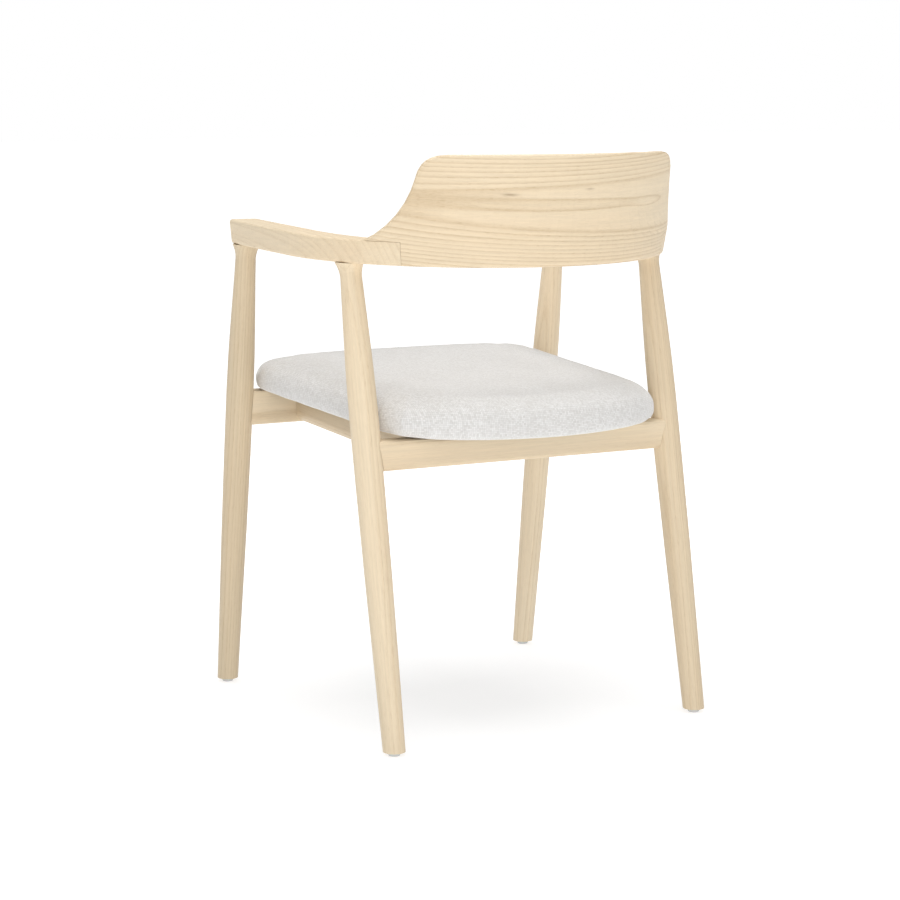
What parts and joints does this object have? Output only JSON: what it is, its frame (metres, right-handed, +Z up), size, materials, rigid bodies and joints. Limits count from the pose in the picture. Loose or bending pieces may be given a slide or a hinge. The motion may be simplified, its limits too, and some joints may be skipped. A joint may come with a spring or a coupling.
{
  "type": "armchair",
  "caption": "Wooden armchair with a curved one-piece backrest lapped onto bent arms, splayed turned legs and a padded woven-fabric seat.",
  "frame": {"origin": "on the floor, at the middle of the chair's box in X and Y", "axes": "+Z up; the chair faces -Y; its left side, as one sits in it, is +X"},
  "size_m": [0.5518, 0.5588, 0.77],
  "materials": {
    "ash_wood": "pale ash with bold cathedral grain, matte lacquer",
    "beech_dowel": "plain unfinished beech dowel, glued",
    "plywood": "raw birch plywood",
    "woven_fabric": "pale grey woven wool-blend upholstery",
    "seat_foam": "soft open-cell seat foam",
    "black_lining": "black non-woven dust lining",
    "glide_plastic": "translucent grey-white plastic",
    "zinc_steel": "zinc-plated steel"
  },
  "bodies": {
    "root": {"arm_left": "ash_wood", "arm_right": "ash_wood", "back_board": "ash_wood", "dowel_back_left_1": "beech_dowel", "dowel_back_left_2": "beech_dowel", "dowel_back_right_1": "beech_dowel", "dowel_back_right_2": "beech_dowel", "dowel_front_rail_left_1": "beech_dowel", "dowel_front_rail_left_2": "beech_dowel", "dowel_front_rail_right_1": "beech_dowel", "dowel_front_rail_right_2": "beech_dowel", "dowel_rear_rail_left_1": "beech_dowel", "dowel_rear_rail_left_2": "beech_dowel", "dowel_rear_rail_right_1": "beech_dowel", "dowel_rear_rail_right_2": "beech_dowel", "dowel_side_rail_front_left_1": "beech_dowel", "dowel_side_rail_front_left_2": "beech_dowel", "dowel_side_rail_front_right_1": "beech_dowel", "dowel_side_rail_front_right_2": "beech_dowel", "dowel_side_rail_rear_left_1": "beech_dowel", "dowel_side_rail_rear_left_2": "beech_dowel", "dowel_side_rail_rear_right_1": "beech_dowel", "dowel_side_rail_rear_right_2": "beech_dowel", "glide_front_left": "glide_plastic", "glide_front_right": "glide_plastic", "glide_pin_front_left": "zinc_steel", "glide_pin_front_right": "zinc_steel", "glide_pin_rear_left": "zinc_steel", "glide_pin_rear_right": "zinc_steel", "glide_rear_left": "glide_plastic", "glide_rear_right": "glide_plastic", "leg_front_left": "ash_wood", "leg_front_right": "ash_wood", "leg_rear_left": "ash_wood", "leg_rear_right": "ash_wood", "rail_front": "ash_wood", "rail_rear": "ash_wood", "rail_side_left": "ash_wood", "rail_side_right": "ash_wood", "seat_cover": "woven_fabric", "seat_dust_cover": "black_lining", "seat_foam": "seat_foam", "seat_panel": "plywood", "seat_screw_front_left": "zinc_steel", "seat_screw_front_right": "zinc_steel", "seat_screw_rear_left": "zinc_steel", "seat_screw_rear_right": "zinc_steel"}
  },
  "joints": []
}
